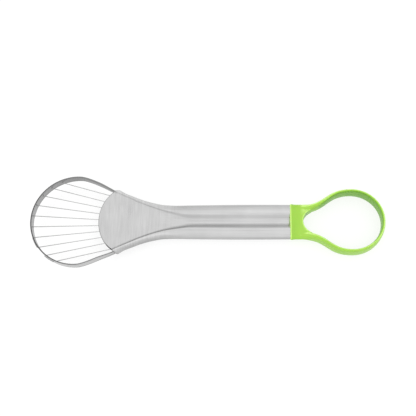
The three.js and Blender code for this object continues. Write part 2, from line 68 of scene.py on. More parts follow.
FRONT_ROLL = 0.8
REAR_TUCK = 0.1
UNDERSIDE_FLAT = 13
UNDERSIDE_ROUNDNESS = 1.75
UNDERSIDE_OFFSET = 0.3
NOSE_BEHIND = 23.5
NOSE_LENGTH = 22
NOSE_RISE = 4.6
NOSE_WALL_SETBACK = 2
NOSE_WALL_INSET = 1.1
SCOOP_BOW = 10.3
SCOOP_LEAD = 1.2
SCOOP_BOW_LENGTH = 36.5
SCOOP_ROUNDNESS = 0.88
SCOOP_CORNER = 1.8
SCOOP_CORNER_LENGTH = 8

# Head and wires
RIM_RADIUS = 31.5
RIM_THICKNESS = 0.9
RIM_HEIGHT = 7
RIM_BOTTOM = 5.5
RIM_LEG_ANGLE = 87
RIM_TAIL_LENGTH = 10.5
RIM_TAIL_GAP = 0.4
RIM_TAIL_DROP = 3.3
RIM_TAIL_DROP_LENGTH = 12
RIM_TAIL_SINK = 1.2
RIM_EDGE_RADIUS = 0.25
WIRE = 0.5
WIRE_PAIRS = 5
WIRE_BEND = 0.3
WIRE_BEAD = 1
WIRE_BEAD_LENGTH = 0.9
WIRE_TAIL = 1.6
WIRE_OFFSET = 0.1
WIRE_ABOVE_RIM_EDGE = 4.1
WIRE_RIM_PITCH = 14.5
WIRE_ANCHOR_PITCH = 4.08
WIRE_HOLE = 0.8
WIRE_HOLE_DEPTH = 4.4
ANCHOR_RADIUS = 23.5
ANCHOR_BEHIND = 13.2
ANCHOR_THICKNESS = 1.2
ANCHOR_BOTTOM = 5.2
ANCHOR_TOP = 10.1
ANCHOR_HALF_WIDTH = 19.7
ANCHOR_EDGE_RADIUS = 0.3
ANCHOR_WIRE_HEIGHT = 1

# End loop
LOOP_WIDTH = 44.4
FERRULE_START = 56.4
FERRULE_LENGTH = 14.6
FERRULE_LIP = 0.4
FERRULE_HALF = 12.55
FERRULE_WAIST = 12.15
FERRULE_WAIST_LENGTH = 4
FERRULE_RISE = 3.4
FERRULE_END_FLARE = 0.2
FERRULE_END_DROP = 0.3
FERRULE_ROUNDNESS = 2.6
FERRULE_BELLY = 2
OPENING_ROOT = 65.3
OPENING_ROOT_RADIUS = 8.2
PLUG_LENGTH = 22
PLUG_INSET = 1.2
STRIP_THICKNESS = 2.5
STRIP_SHOULDER_THICKNESS = 3.1
STRIP_ROOT_THICKNESS = 4.9
STRIP_ROOT_FADE = 19.5
STRIP_HEIGHT = 12
STRIP_ROOT_HEIGHT = 8.8
STRIP_BELOW_SEAM = 0.7
STRIP_ROOT_BELOW_SEAM = 1.6
STRIP_ROUNDNESS = 2.5
STRIP_ROOT_OVERLAP = 2
STRIP_ROOT_HALF = 9.3
STRIP_ROOT_LIFT = 1.8
STRIP_ROOT_LIFT_LENGTH = 9
STRIP_SHOULDER = 17.4
STRIP_LEG = 18.6
LOOP_VOXEL = 0.35
LOOP_SMOOTHING = 10

# Steps along the skins and sides around them
FRONT_ROLL_STEPS = 5
SCOOP_STEPS = 72
BARREL_STEPS = 48
NOSE_STEPS = 36
NOSE_WALL_TRIM = 8
RIM_TAIL_STEPS = 8
RIM_LEG_STEPS = 20
RIM_STEPS = 120
RIM_SPACING = 0.8
RIM_EASING = 10
ANCHOR_STEPS = 60
HOLE_SIDES = 20
WIRE_SIDES = 16
WIRE_WRAP_STEPS = 12
WIRE_BEND_STEPS = 10
WIRE_BEAD_STEPS = 8
FERRULE_LIP_STEPS = 6
FERRULE_WAIST_STEPS = 8
FERRULE_SIDES = 96
HOLLOW_SIDES = 128
PLUG_STEPS = 8
STRIP_LEG_STEPS = 60
STRIP_ARC_STEPS = 90
STRIP_SIDES = 40

# Angles in degrees above which an edge is bevelled or kept sharp
SHEET_BEVEL_ANGLE = 55
SHEET_SHARP_ANGLE = 40
STRIP_SHARP_ANGLE = 35
ROUND_SHARP_ANGLE = 60

# Range that holds nearly all values of a noise
NOISE_LOW = 0.3
NOISE_HIGH = 0.7

# Camera of the photograph, in metres, radians and millimetres of lens
CAMERA_PLACE = (0.0295, -0.168, 0.5426)
CAMERA_PITCH = 0.32056
CAMERA_YAW = 0.0531
CAMERA_ROLL = 0.0138
CAMERA_LENS = 71.8
CAMERA_SENSOR = 36

# Worked out from the sizes above
rim_centre_x = -LENGTH / 2 + RIM_RADIUS + WIRE_OFFSET + WIRE
wire_wrap_radius = RIM_RADIUS + WIRE_OFFSET + WIRE / 2
wire_rim_z = RIM_BOTTOM + WIRE_ABOVE_RIM_EDGE
anchor_centre_x = HANDLE_FRONT + ANCHOR_BEHIND
nose_end = HANDLE_FRONT + NOSE_BEHIND
nose_start = nose_end + NOSE_LENGTH
handle_rear = FERRULE_START + REAR_TUCK
loop_radius = (LOOP_WIDTH - STRIP_THICKNESS) / 2
loop_centre_x = LENGTH / 2 - LOOP_WIDTH / 2


def clamp(v, low, high):
    return max(low, min(high, v))


def smooth(t):
    t = clamp(t, 0, 1)
    return t * t * (3 - 2 * t)


def mix(a, b, t):
    return a + (b - a) * t


def power(v, n):
    return math.copysign(abs(v) ** n, v)


def between(start, stop, count):
    return [mix(start, stop, i / count) for i in range(count + 1)]


# Points of an arc in plan round a centre on the X axis, between two angles
def plan_arc(centre_x, radius, start, stop, count):
    turns = between(start, stop, count)
    return [Vector((centre_x + radius * math.cos(a), radius * math.sin(a))) for a in turns]


# A plan line on the other side of the X axis, run backwards
def mirrored(line):
    return [Vector((p.x, -p.y)) for p in line[::-1]]


# A station value at any x, by a cubic that never overshoots its stations
def station_value(key, x):
    behind = x - HANDLE_FRONT
    last = len(STATIONS) - 1
    later = [i for i, s in enumerate(STATIONS) if s["behind"] > behind]
    i = max(0, later[0] - 1) if later else last - 1

    def gap(k):
        return STATIONS[k + 1]["behind"] - STATIONS[k]["behind"]

    def rise(k):
        return (STATIONS[k + 1][key] - STATIONS[k][key]) / gap(k)

    def slope(k):
        if k == 0:
            return rise(0)
        if k == last:
            return rise(last - 1)
        before, after = rise(k - 1), rise(k)
        return 0 if before * after <= 0 else 2 * before * after / (before + after)

    span = gap(i)
    t = (behind - STATIONS[i]["behind"]) / span
    return (
        STATIONS[i][key] * (1 + 2 * t) * (1 - t) ** 2
        + slope(i) * span * t * (1 - t) ** 2
        + STATIONS[i + 1][key] * t * t * (3 - 2 * t)
        + slope(i + 1) * span * t * t * (t - 1)
    )


# A mesh object from rings of points, with the given faces closing both ends
def loft(name, rings, caps):
    count = len(rings[0])
    points = [Vector(p) * MM for ring in rings for p in ring]
    faces = []
    for i in range(len(rings) - 1):
        for j in range(count):
            a = i * count + j
            b = i * count + (j + 1) % count
            faces.append((a, b, b + count, a + count))
    end = (len(rings) - 1) * count
    for cap in caps:
        faces.append(tuple(reversed(cap)))
        faces.append(tuple(end + k for k in cap))
    mesh = bpy.data.meshes.new(name)
    mesh.from_pydata(points, [], faces)
    work = bmesh.new()
    work.from_mesh(mesh)
    bmesh.ops.recalc_face_normals(work, faces=work.faces)
    work.to_mesh(mesh)
    work.free()
    obj = bpy.data.objects.new(name, mesh)
    bpy.context.scene.collection.objects.link(obj)
    return obj


# Cap of a ring with one plain outline
def whole_cap(count):
    return [tuple(range(count))]


# Cap of a ring made of an outer row and an inner row run backwards
def strip_cap(row):
    return [(i, i + 1, 2 * row - 2 - i, 2 * row - 1 - i) for i in range(row - 1)]


# Replaces an object's mesh by the result of its modifiers
def settle(obj):
    graph = bpy.context.evaluated_depsgraph_get()
    made = bpy.data.meshes.new_from_object(obj.evaluated_get(graph))
    obj.modifiers.clear()
    obj.data = made


def cut(obj, cutter):
    modifier = obj.modifiers.new("cut", "BOOLEAN")
    modifier.object = cutter
    modifier.operation = "DIFFERENCE"
    modifier.solver = "EXACT"
    settle(obj)
    bpy.data.objects.remove(cutter)


def join(objects):
    first = objects[0]
    work = bmesh.new()
    for obj in objects:
        work.from_mesh(obj.data)
    work.to_mesh(first.data)
    work.free()
    for obj in objects[1:]:
        bpy.data.objects.remove(obj)
    return first


def bevel(obj, width, angle):
    modifier = obj.modifiers.new("edge", "BEVEL")
    modifier.width = width * MM
    modifier.segments = 3
    modifier.limit_method = "ANGLE"
    modifier.angle_limit = math.radians(angle)
    settle(obj)


def shade(obj, angle):
    obj.data.shade_smooth()
    obj.data.set_sharp_from_angle(angle=math.radians(angle))


# Upper profile of the handle at x, from one lower edge over the groove to the other, in Y and Z
def upper_profile(x, inset, edge_z):
    half = station_value("half", x) - inset
    groove = station_value("groove", x) + GROOVE_OFFSET * inset
    crest = SEAM_Z + station_value("crest", x) - inset
    depth = station_value("depth", x)
    square = station_value("square", x)
    across = 26
    round_steps = 22

    def dish(y):
        return crest - depth * (1 - smooth((y / groove) ** square))

    right = []
    for i in range(across + 1):
        y = groove * (1 - (1 - i / across) ** 2)
        right.append((y, dish(y)))
    for i in range(1, round_steps + 1):
        a = math.pi / 2 * (i / round_steps) ** 1.25
        y = groove + (half - groove) * math.sin(a)
        right.append((y, edge_z + (crest - edge_z) * math.cos(a)))
    left = [(-y, z) for y, z in right[1:]]
    return left[::-1] + right


# Lower profile of the handle at x, from one seam edge under the flat to the other, in Y and Z
def lower_profile(x, inset, top_z):
    half = station_value("half", x) - inset
    flat = UNDERSIDE_FLAT / 2 - UNDERSIDE_OFFSET * inset
    nose = max(0, (nose_start - x) / NOSE_LENGTH)
    bottom = NOSE_RISE * nose * nose + inset
    steps = 20
    right = []
    for i in range(steps + 1):
        a = math.pi / 2 * i / steps
        out = power(math.cos(a), 2 / UNDERSIDE_ROUNDNESS)
        down = power(math.sin(a), 2 / UNDERSIDE_ROUNDNESS)
        right.append((flat + (half - flat) * out, top_z - (top_z - bottom) * down))
    return right + [(-y, z) for y, z in right[::-1]]


# Places a profile at x; near the front the plate is bowed forward like the scoop edge
# and the corners beside it are rounded back
def place_profile(profile, x, bowed):
    plate = station_value("groove", x)
    side = station_value("half", x) - plate
    behind = x - HANDLE_FRONT
    bow = bowed * smooth(1 - behind / SCOOP_BOW_LENGTH)
    corner = bowed * SCOOP_CORNER * smooth(1 - behind / SCOOP_CORNER_LENGTH)
    drop = math.sqrt(1 - SCOOP_ROUNDNESS**2)
    ring = []
    for y, z in profile:
        across = min(1, abs(y) / plate) * SCOOP_ROUNDNESS
        forward = (math.sqrt(1 - across * across) - drop) / (1 - drop)
        beside = max(0, abs(y) - plate) / side
        lead = SCOOP_BOW * forward + SCOOP_LEAD * (1 - beside)
        ring.append((x - bow * lead + corner * beside * beside, y, z))
    return ring


# How far the rolled front edge of the scoop lies inside the full outline at x
def front_roll(x):
    left = max(0, FRONT_ROLL - (x - HANDLE_FRONT))
    return FRONT_ROLL - math.sqrt(FRONT_ROLL**2 - left**2)


def upper_shell():
    edge = SEAM_Z + SEAM_GAP / 2
    rolled = HANDLE_FRONT + FRONT_ROLL
    xs = between(HANDLE_FRONT, rolled, FRONT_ROLL_STEPS)
    xs += between(rolled, nose_start, SCOOP_STEPS)[1:]
    xs += between(nose_start, handle_rear, BARREL_STEPS)[1:]
    rings = []
    for x in xs:
        outer = upper_profile(x, front_roll(x), edge)
        inner = upper_profile(x, SHEET, edge)
        rings.append(place_profile(outer + inner[::-1], x, 1))
    shell = loft("upper_shell_skin", rings, strip_cap(len(rings[0]) // 2))
    bevel(shell, SHEET_BEVEL, SHEET_BEVEL_ANGLE)
    shade(shell, SHEET_SHARP_ANGLE)
    return shell


# Turned-up front end of the lower shell, which closes the hollow handle
def nose_wall():
    rings = []
    for x in (nose_end + SEAM_GAP / 2, nose_end + SHEET):
        upper = upper_profile(x + NOSE_WALL_SETBACK, NOSE_WALL_INSET, SEAM_Z - SEAM_GAP)
        ceiling = upper[len(upper) // 2][1]
        below = [(y, min(z, ceiling)) for y, z in upper]
        lower = lower_profile(x, NOSE_WALL_INSET / 2, SEAM_Z - SEAM_GAP)
        rings.append(place_profile(below + lower[NOSE_WALL_TRIM:-NOSE_WALL_TRIM], x, 0))
    return loft("nose_wall", rings, whole_cap(len(rings[0])))


def lower_shell():
    top = SEAM_Z - SEAM_GAP / 2
    xs = between(nose_end, nose_start, NOSE_STEPS)
    xs += between(nose_start, handle_rear, BARREL_STEPS)[1:]
    rings = []
    for x in xs:
        outer = lower_profile(x, 0, top)
        inner = lower_profile(x, SHEET, top)
        rings.append(place_profile(outer + inner[::-1], x, 0))
    shell = loft("lower_shell_skin", rings, strip_cap(len(rings[0]) // 2))
    bevel(shell, SHEET_BEVEL, SHEET_BEVEL_ANGLE)
    shell = join([shell, nose_wall()])
    shade(shell, SHEET_SHARP_ANGLE)
    return shell


# Corner-rounded upright section: pairs of place across the strip from 0 to thick, and height
def strip_section(thick, bottom, top, radius):
    corner_steps = 4
    section = []
    corners = ((radius, bottom + radius, 180), (thick - radius, bottom + radius, 270))
    corners += ((thick - radius, top - radius, 0), (radius, top - radius, 90))
    for across, up, start in corners:
        for step in range(corner_steps + 1):
            a = math.radians(start + 90 * step / corner_steps)
            section.append((across + radius * math.cos(a), up + radius * math.sin(a)))
    return section


# Evenly spaced points along a plan line, with its corners eased
def eased_line(points, spacing, passes):
    dense = []
    for a, b in zip(points, points[1:]):
        count = max(1, round((b - a).length / spacing))
        dense += [a.lerp(b, i / count) for i in range(count)]
    dense.append(points[-1])
    for _ in range(passes):
        middle = [(a + 2 * b + c) / 4 for a, b, c in zip(dense, dense[1:], dense[2:])]
        dense = [dense[0], *middle, dense[-1]]
    return dense


# Sweeps an upright section along a plan line; section_at gives it from the point on the line
def sweep_strip(name, line, section_at):
    rings = []
    for i, p in enumerate(line):
        along = (line[min(i + 1, len(line) - 1)] - line[max(i - 1, 0)]).normalized()
        inward = Vector((-along.y, along.x))
        ring = []
        for across, up in section_at(p):
            q = p + inward * across
            ring.append((q.x, q.y, up))
        rings.append(ring)
    return loft(name, rings, whole_cap(len(rings[0])))


# The two end points of a wire span: number 1 lies nearest the axis, side is +1 or -1
def wire_span(number, side):
    count = side * (number - 0.5)

    def on_arc(centre_x, radius, y, z):
        return Vector((centre_x - math.sqrt(radius * radius - y * y), y, z))

    wall = RIM_RADIUS - RIM_THICKNESS / 2
    rim_y = wall * math.sin(math.radians(count * WIRE_RIM_PITCH))
    anchor_z = ANCHOR_BOTTOM + ANCHOR_WIRE_HEIGHT
    rim = on_arc(rim_centre_x, wall, rim_y, wire_rim_z)
    anchor = on_arc(anchor_centre_x, ANCHOR_RADIUS, count * WIRE_ANCHOR_PITCH, anchor_z)
    return rim, anchor


# The ten spans across the head, from the +Y side to the -Y side
def all_spans():
    numbers = [(n, 1) for n in range(WIRE_PAIRS, 0, -1)]
    numbers += [(n, -1) for n in range(1, WIRE_PAIRS + 1)]
    return [wire_span(n, side) for n, side in numbers]


# A round rod along points, with a radius at each point
def rod(name, points, radii, sides):
    rings = []
    nearly_upright = 0.9
    upright = (points[1] - points[0]).normalized().z > nearly_upright
    across = Vector((1, 0, 0)) if upright else Vector((0, 0, 1))
    for i, p in enumerate(points):
        along = points[min(i + 1, len(points) - 1)] - points[max(i - 1, 0)]
        along.normalize()
        across = (across - along * across.dot(along)).normalized()
        side = along.cross(across)
        ring = []
        for k in range(sides):
            a = 2 * math.pi * k / sides
            ring.append(p + (across * math.cos(a) + side * math.sin(a)) * radii[i])
        rings.append(ring)
    return loft(name, rings, whole_cap(sides))


# Cutter with one round bar along each wire where it passes a wall
def hole_cutter(end):
    bars = []
    for span in all_spans():
        along = (span[0] - span[1]).normalized()
        reach = along * (WIRE_HOLE_DEPTH / 2)
        ends = [span[end] - reach, span[end] + reach]
        bars.append(rod("hole", ends, [WIRE_HOLE / 2] * 2, HOLE_SIDES))
    return join(bars)


def rim_band():
    def tail(x):
        return Vector((x, station_value("half", x) - SHEET - RIM_TAIL_GAP))

    tail_xs = between(HANDLE_FRONT + RIM_TAIL_LENGTH, HANDLE_FRONT, RIM_TAIL_STEPS)
    leg = math.radians(RIM_LEG_ANGLE)
    arc = plan_arc(rim_centre_x, RIM_RADIUS, leg, 2 * math.pi - leg, RIM_STEPS)
    front = tail(HANDLE_FRONT)
    slope = tail(HANDLE_FRONT + 1).y - front.y
    fall = 1 / math.tan(leg)
    corner_x = (arc[0].y + fall * arc[0].x - front.y + slope * front.x) / (slope + fall)
    corner = Vector((corner_x, front.y + slope * (corner_x - front.x)))
    bend = []
    for t in between(0, 1, RIM_LEG_STEPS)[1:-1]:
        bend.append(front.lerp(corner, t).lerp(corner.lerp(arc[0], t), t))
    far = [tail(x) for x in tail_xs] + bend
    points = far + arc + mirrored(far)

    def section_at(p):
        tuck = smooth(1 + (p.x - HANDLE_FRONT) / RIM_TAIL_DROP_LENGTH)
        bottom = RIM_BOTTOM - RIM_TAIL_SINK * tuck
        top = RIM_BOTTOM + RIM_HEIGHT - RIM_TAIL_DROP * tuck
        return strip_section(RIM_THICKNESS, bottom, top, RIM_EDGE_RADIUS)

    band = sweep_strip("rim_band_skin", eased_line(points, RIM_SPACING, RIM_EASING), section_at)
    cut(band, hole_cutter(0))
    shade(band, STRIP_SHARP_ANGLE)
    return band


def wire_anchor():
    outer = ANCHOR_RADIUS + ANCHOR_THICKNESS / 2
    spread = math.asin(ANCHOR_HALF_WIDTH / outer)
    line = plan_arc(anchor_centre_x, outer, math.pi - spread, math.pi + spread, ANCHOR_STEPS)

    def section_at(_):
        return strip_section(ANCHOR_THICKNESS, ANCHOR_BOTTOM, ANCHOR_TOP, ANCHOR_EDGE_RADIUS)

    bar = sweep_strip("wire_anchor_skin", line, section_at)
    cut(bar, hole_cutter(1))
    shade(bar, STRIP_SHARP_ANGLE)
    return bar


# Points of a route with each sharp corner rounded
def rounded_route(points, radius, steps):
    straight_turn = 0.15
    out = [points[0]]
    for before, p, after in zip(points, points[1:], points[2:]):
        back = (before - p).normalized()
        onward = (after - p).normalized()
        opening = back.angle(onward)
        if math.pi - opening < straight_turn:
            out.append(p)
            continue
        reach = radius / math.tan(opening / 2)
        centre = p + (back + onward).normalized() * (radius / math.sin(opening / 2))
        start = p + back * reach - centre
        stop = p + onward * reach - centre
        turn = start.angle(stop)
        axis = start.cross(stop).normalized()
        for k in range(steps + 1):
            out.append(Matrix.Rotation(turn * k / steps, 3, axis) @ start + centre)
    out.append(points[-1])
    return out


# Where a span's line reaches the wrap radius outside the rim
def wrap_point(span):
    rim, anchor = span
    along = (rim - anchor).normalized()
    start = Vector((rim.x - rim_centre_x, rim.y))
    way = Vector((along.x, along.y))
    b = start.dot(way) / way.length_squared
    c = (start.length_squared - wire_wrap_radius**2) / way.length_squared
    return rim + along * (math.sqrt(b * b - c) - b)


# One hairpin wire: bead, span, wrap outside the rim, second span, bead
def hairpin(name, first, second):
    out, back = wrap_point(first), wrap_point(second)
    turn = [math.atan2(p.y, rim_centre_x - p.x) for p in (out, back)]
    wrap = []
    for a in between(*turn, WIRE_WRAP_STEPS)[1:-1]:
        x = rim_centre_x - wire_wrap_radius * math.cos(a)
        wrap.append(Vector((x, wire_wrap_radius * math.sin(a), wire_rim_z)))

    def tail(span, reach):
        along = (span[1] - span[0]).normalized()
        return span[1] + along * (ANCHOR_THICKNESS / 2 + reach)

    reaches = between(WIRE_TAIL, WIRE_TAIL - WIRE_BEAD_LENGTH, WIRE_BEAD_STEPS)
    swell = []
    for i in range(len(reaches)):
        ball = math.sqrt(max(0, 1 - (2 * (i + 0.5) / len(reaches) - 1) ** 2))
        swell.append(max(WIRE / 2, ball * WIRE_BEAD / 2))
    corners = [tail(first, reaches[-1]), out, *wrap, back, tail(second, reaches[-1])]
    route = rounded_route(corners, WIRE_BEND, WIRE_BEND_STEPS)[1:-1]
    points = [tail(first, r) for r in reaches] + route
    points += [tail(second, r) for r in reaches[::-1]]
    radii = swell + [WIRE / 2] * len(route) + swell[::-1]
    wire = rod(name, points, radii, WIRE_SIDES)
    shade(wire, ROUND_SHARP_ANGLE)
    return wire


# A ring of the ferrule: widest at the seam, a low crown above it and a deeper belly below
def ferrule_ring(x, half, rise, count):
    ring = []
    for k in range(count):
        a = 2 * math.pi * k / count
        above = math.sin(a) >= 0
        n = 2 / (FERRULE_ROUNDNESS if above else FERRULE_BELLY)
        reach = rise if above else SEAM_Z
        ring.append((x, half * power(math.cos(a), n), SEAM_Z + reach * power(math.sin(a), n)))
    return ring


# Ferrule that caps the handle end, hollowed where the loop opening starts
def ferrule():
    shape = []
    for a in between(0, math.pi / 2, FERRULE_LIP_STEPS):
        inset = FERRULE_LIP * (1 - math.sin(a))
        x = FERRULE_START + FERRULE_LIP * (1 - math.cos(a))
        shape.append((x, FERRULE_HALF - inset, FERRULE_RISE - inset))
    for t in between(0, 1, FERRULE_WAIST_STEPS)[1:]:
        x = FERRULE_START + mix(FERRULE_LIP, FERRULE_WAIST_LENGTH, t)
        shape.append((x, mix(FERRULE_HALF, FERRULE_WAIST, smooth(t)), FERRULE_RISE))
    shape.append((OPENING_ROOT, FERRULE_WAIST, FERRULE_RISE))
    end = FERRULE_START + FERRULE_LENGTH
    shape.append((end, FERRULE_WAIST + FERRULE_END_FLARE, FERRULE_RISE - FERRULE_END_DROP))
    rings = [ferrule_ring(*row, FERRULE_SIDES) for row in shape]
    body = loft("ferrule", rings, whole_cap(FERRULE_SIDES))
    centre_x = OPENING_ROOT + OPENING_ROOT_RADIUS
    ends = [Vector((centre_x, 0, -SEAM_Z)), Vector((centre_x, 0, 3 * SEAM_Z))]
    hollow = rod("hollow", ends, [OPENING_ROOT_RADIUS] * 2, HOLLOW_SIDES)
    cut(body, hollow)
    return body


# Plug that fills the end of the hollow handle
def plug():
    rings = []
    for x in between(FERRULE_START - PLUG_LENGTH, FERRULE_START + FERRULE_LIP, PLUG_STEPS):
        upper = upper_profile(x, PLUG_INSET, SEAM_Z + SEAM_GAP)
        lower = lower_profile(x, PLUG_INSET, SEAM_Z - SEAM_GAP)
        rings.append(place_profile(upper + lower, x, 0))
    return loft("plug", rings, whole_cap(len(rings[0])))


def bezier(a, b, c, d, t):
    s = 1 - t
    return a * s**3 + b * 3 * s * s * t + c * 3 * s * t * t + d * t**3


# Teardrop strip: a leg from the ferrule, round the loop and back
def loop_strip():
    root_x = OPENING_ROOT - STRIP_ROOT_OVERLAP
    shoulder_x = loop_centre_x - STRIP_SHOULDER
    leg = [
        Vector((root_x, STRIP_ROOT_HALF)),
        Vector((root_x + STRIP_LEG, STRIP_ROOT_HALF)),
        Vector((shoulder_x, loop_radius)),
        Vector((loop_centre_x, loop_radius)),
    ]
    far = [bezier(*leg, t) for t in between(0, 1, STRIP_LEG_STEPS)]
    arc = plan_arc(loop_centre_x, loop_radius, math.pi / 2, -math.pi / 2, STRIP_ARC_STEPS)[1:-1]

    def section_at(p):
        t = smooth((p.x - root_x) / (shoulder_x - root_x))
        fade = smooth((p.x - root_x) / STRIP_ROOT_FADE)
        leg_thick = mix(STRIP_ROOT_THICKNESS, STRIP_SHOULDER_THICKNESS, fade)
        half_thick = mix(leg_thick, STRIP_THICKNESS, smooth((p.x - shoulder_x) / STRIP_SHOULDER)) / 2
        lift = STRIP_ROOT_LIFT * (1 - smooth((p.x - root_x) / STRIP_ROOT_LIFT_LENGTH))
        half_height = (mix(STRIP_ROOT_HEIGHT, STRIP_HEIGHT, t) - lift) / 2
        centre = SEAM_Z - mix(STRIP_ROOT_BELOW_SEAM, STRIP_BELOW_SEAM, t) + lift / 2
        section = []
        for k in range(STRIP_SIDES):
            a = 2 * math.pi * k / STRIP_SIDES
            across = half_thick * power(math.cos(a), 2 / STRIP_ROUNDNESS)
            up = centre + half_height * power(math.sin(a), 2 / STRIP_ROUNDNESS)
            section.append((across, up))
        return section

    return sweep_strip("strip", far + arc + mirrored(far), section_at)


# Ferrule, plug and strip grown together as one moulding, with eased joins
def end_loop():
    body = join([ferrule(), plug(), loop_strip()])
    body.name = "end_loop_skin"
    remesh = body.modifiers.new("grow", "REMESH")
    remesh.mode = "VOXEL"
    remesh.voxel_size = LOOP_VOXEL * MM
    ease = body.modifiers.new("ease", "SMOOTH")
    ease.factor = 0.5
    ease.iterations = LOOP_SMOOTHING
    settle(body)
    shade(body, ROUND_SHARP_ANGLE)
    return body


# A new material with its shader and a way to add nodes
class Look:
    def __init__(self, name, **constants):
        self.material = bpy.data.materials.new(name)
        self.material.use_nodes = True
        self.tree = self.material.node_tree
        self.shader = self.tree.nodes["Principled BSDF"]
        for socket, value in constants.items():
            self.shader.inputs[socket.replace("_", " ")].default_value = value

    def node(self, kind, **settings):
        made = self.tree.nodes.new(kind)
        for key, value in settings.items():
            setattr(made, key, value)
        return made

    def link(self, output, target):
        self.tree.links.new(output, target)

    def drive(self, socket, output):
        self.link(output, self.shader.inputs[socket])

    # Noise over the object's own coordinates, with the given counts per metre along X, Y and Z
    def noise(self, counts, detail=3, roughness=0.55):
        place = self.node("ShaderNodeTexCoord")
        mapping = self.node("ShaderNodeMapping")
        mapping.inputs["Scale"].default_value = counts
        noise = self.node("ShaderNodeTexNoise")
        noise.inputs["Scale"].default_value = 1
        noise.inputs["Detail"].default_value = detail
        noise.inputs["Roughness"].default_value = roughness
        self.link(place.outputs["Object"], mapping.inputs["Vector"])
        self.link(mapping.outputs["Vector"], noise.inputs["Vector"])
        return noise.outputs["Fac"]

    # A value moved from one range to another
    def ranged(self, value, low, high, to_low, to_high, kind="LINEAR"):
        made = self.node("ShaderNodeMapRange", interpolation_type=kind)
        self.link(value, made.inputs["Value"])
        ends = {"From Min": low, "From Max": high, "To Min": to_low, "To Max": to_high}
        for key, number in ends.items():
            made.inputs[key].default_value = number
        return made.outputs["Result"]

    # A noise spread over a range of values
    def varied(self, noise, low, high):
        return self.ranged(noise, NOISE_LOW, NOISE_HIGH, low, high)

    # The X, Y and Z values of the place on the object
    def place(self):
        split = self.node("ShaderNodeSeparateXYZ")
        self.link(self.node("ShaderNodeTexCoord").outputs["Object"], split.inputs["Vector"])
        return [split.outputs[axis] for axis in "XYZ"]

    # Gives a socket a plain value, or links an output to it
    def put(self, value, socket):
        if isinstance(value, (int, float, tuple)):
            socket.default_value = value
        else:
            self.link(value, socket)

    # A chain of vector steps from an output; each step is an operation and its second vector or output
    def vectors(self, output, *steps):
        for operation, second in steps:
            made = self.node("ShaderNodeVectorMath", operation=operation)
            self.link(output, made.inputs[0])
            self.put(second, made.inputs[1])
            output = made.outputs["Value" if operation == "DOT_PRODUCT" else "Vector"]
        return output

    # How far the surface faces a direction, from -1 to 1
    def toward(self, *direction):
        normal = self.node("ShaderNodeNewGeometry").outputs["Normal"]
        return self.vectors(normal, ("DOT_PRODUCT", tuple(Vector(direction).normalized())))

    # How far the surface faces away from an upright axis at the given x, from -1 to 1
    def outward(self, axis_x):
        place = self.node("ShaderNodeTexCoord").outputs["Object"]
        normal = self.node("ShaderNodeNewGeometry").outputs["Normal"]
        steps = [("SUBTRACT", (axis_x * MM, 0, 0)), ("MULTIPLY", (1, 1, 0)), ("NORMALIZE", (0, 0, 0))]
        return self.vectors(place, *steps, ("DOT_PRODUCT", normal))

    def math(self, operation, a, b):
        made = self.node("ShaderNodeMath", operation=operation)
        self.put(a, made.inputs[0])
        self.put(b, made.inputs[1])
        return made.outputs[0]

    def mixed(self, factor, a, b):
        made = self.node("ShaderNodeMix", data_type="FLOAT")
        self.link(factor, made.inputs["Factor"])
        self.put(a, made.inputs["A"])
        self.put(b, made.inputs["B"])
        return made.outputs["Result"]

    # A colour ramp over a value, from pairs of place and linear colour
    def ramp(self, value, stops):
        made = self.node("ShaderNodeValToRGB")
        elements = made.color_ramp.elements
        while len(elements) < len(stops):
            elements.new(0.5)
        for element, (place, colour) in zip(elements, stops):
            element.position = place
            element.color = (*colour, 1)
        self.link(value, made.inputs["Fac"])
        return made.outputs["Color"]

    # A curve over a value from 0 to 1, from pairs of place and level
    def levels(self, value, stops):
        made = self.node("ShaderNodeFloatCurve")
        curve = made.mapping.curves[0]
        made.mapping.use_clip = False
        for point, (place, level) in zip((curve.points[0], curve.points[1]), (stops[0], stops[-1])):
            point.location = (place, level)
        for place, level in stops[1:-1]:
            curve.points.new(place, level)
        made.mapping.update()
        self.link(value, made.inputs["Value"])
        return made.outputs["Value"]

    def bump(self, height, strength, distance):
        made = self.node("ShaderNodeBump")
        made.inputs["Strength"].default_value = strength
        made.inputs["Distance"].default_value = distance * MM
        self.link(height, made.inputs["Height"])
        self.drive("Normal", made.outputs["Normal"])


# A faintly cool grey, as a linear colour
def grey(value):
    coolness = 1.01
    return (value, value, value * coolness)


